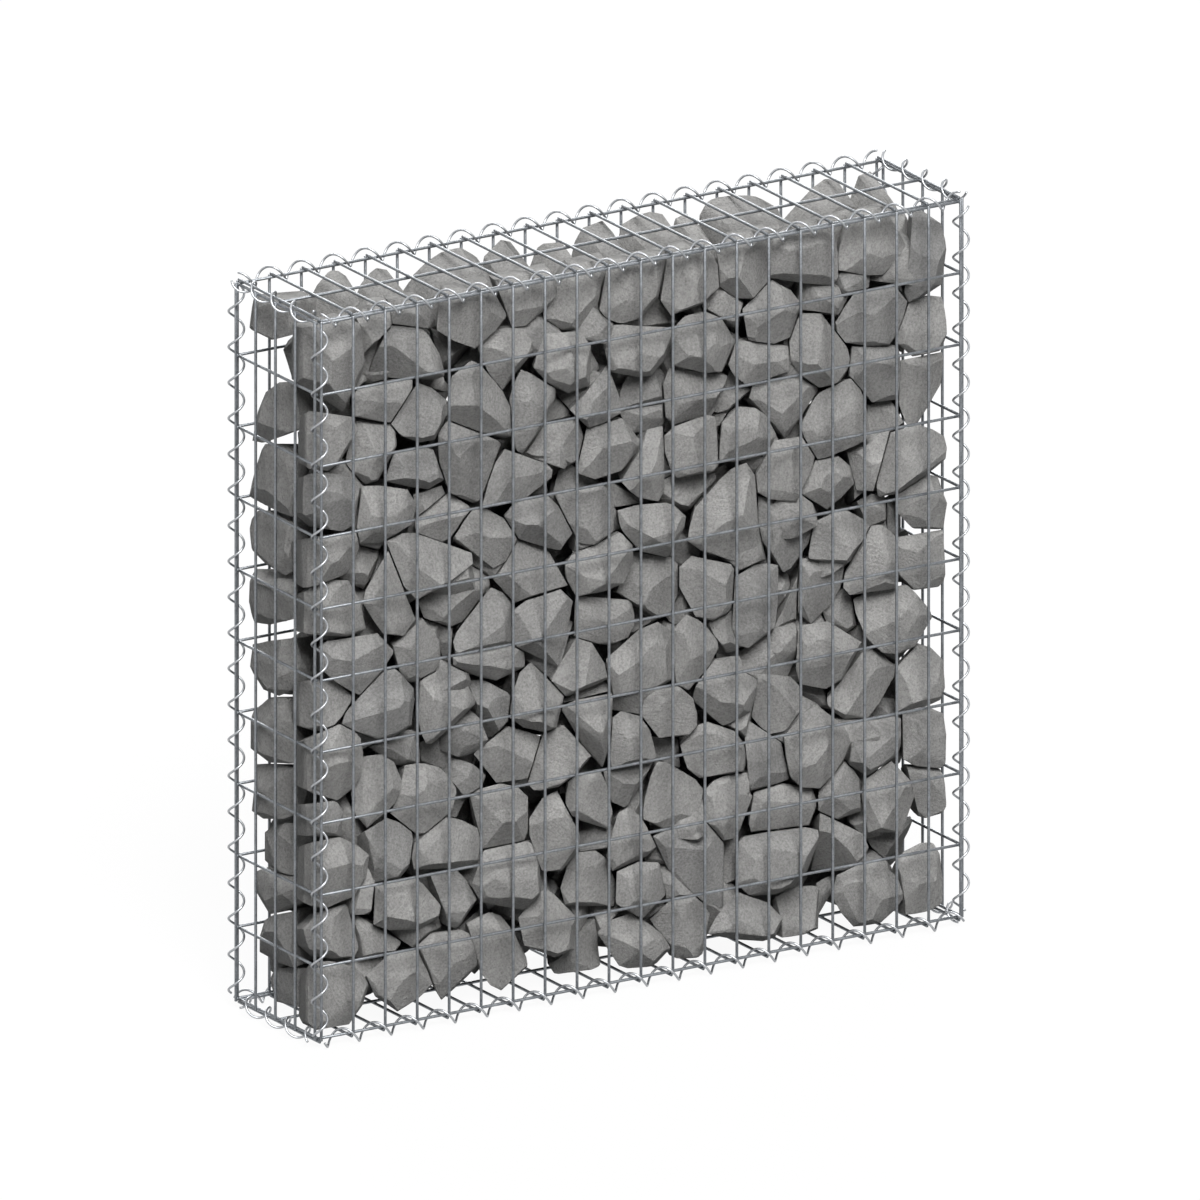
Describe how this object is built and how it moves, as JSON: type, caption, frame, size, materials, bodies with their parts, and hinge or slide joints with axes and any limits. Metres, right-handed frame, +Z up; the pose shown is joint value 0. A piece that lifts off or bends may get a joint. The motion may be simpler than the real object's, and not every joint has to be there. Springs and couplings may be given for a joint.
{
  "type": "gabion wall",
  "caption": "Flat upright gabion basket of welded wire mesh panels, laced along its edges with wire spirals and filled with broken stone.",
  "frame": {"origin": "on the ground under the middle of the basket: the centre of the bounding box's bottom", "axes": "+X along the wall to the right, +Y through the wall from its front to its back, +Z up"},
  "size_m": [1.0362, 0.233, 1.0313],
  "materials": {
    "mesh_wire": "galvanised, dull",
    "spiral_wire": "galvanised, bright",
    "stone": "rough broken rock"
  },
  "bodies": {
    "root": {"back_panel": "mesh_wire", "base_panel": "mesh_wire", "front_panel": "mesh_wire", "left_end_panel": "mesh_wire", "lid_panel": "mesh_wire", "right_end_panel": "mesh_wire", "spiral_bottom_back": "spiral_wire", "spiral_bottom_front": "spiral_wire", "spiral_bottom_left": "spiral_wire", "spiral_bottom_right": "spiral_wire", "spiral_corner_back_left": "spiral_wire", "spiral_corner_back_right": "spiral_wire", "spiral_corner_front_left": "spiral_wire", "spiral_corner_front_right": "spiral_wire", "spiral_top_back": "spiral_wire", "spiral_top_front": "spiral_wire", "spiral_top_left": "spiral_wire", "spiral_top_right": "spiral_wire", "stone_fill_01": "stone", "stone_fill_02": "stone", "stone_fill_03": "stone", "stone_fill_04": "stone", "stone_fill_05": "stone", "stone_fill_06": "stone", "stone_fill_07": "stone", "stone_fill_08": "stone", "stone_fill_09": "stone", "stone_fill_10": "stone"}
  },
  "joints": []
}
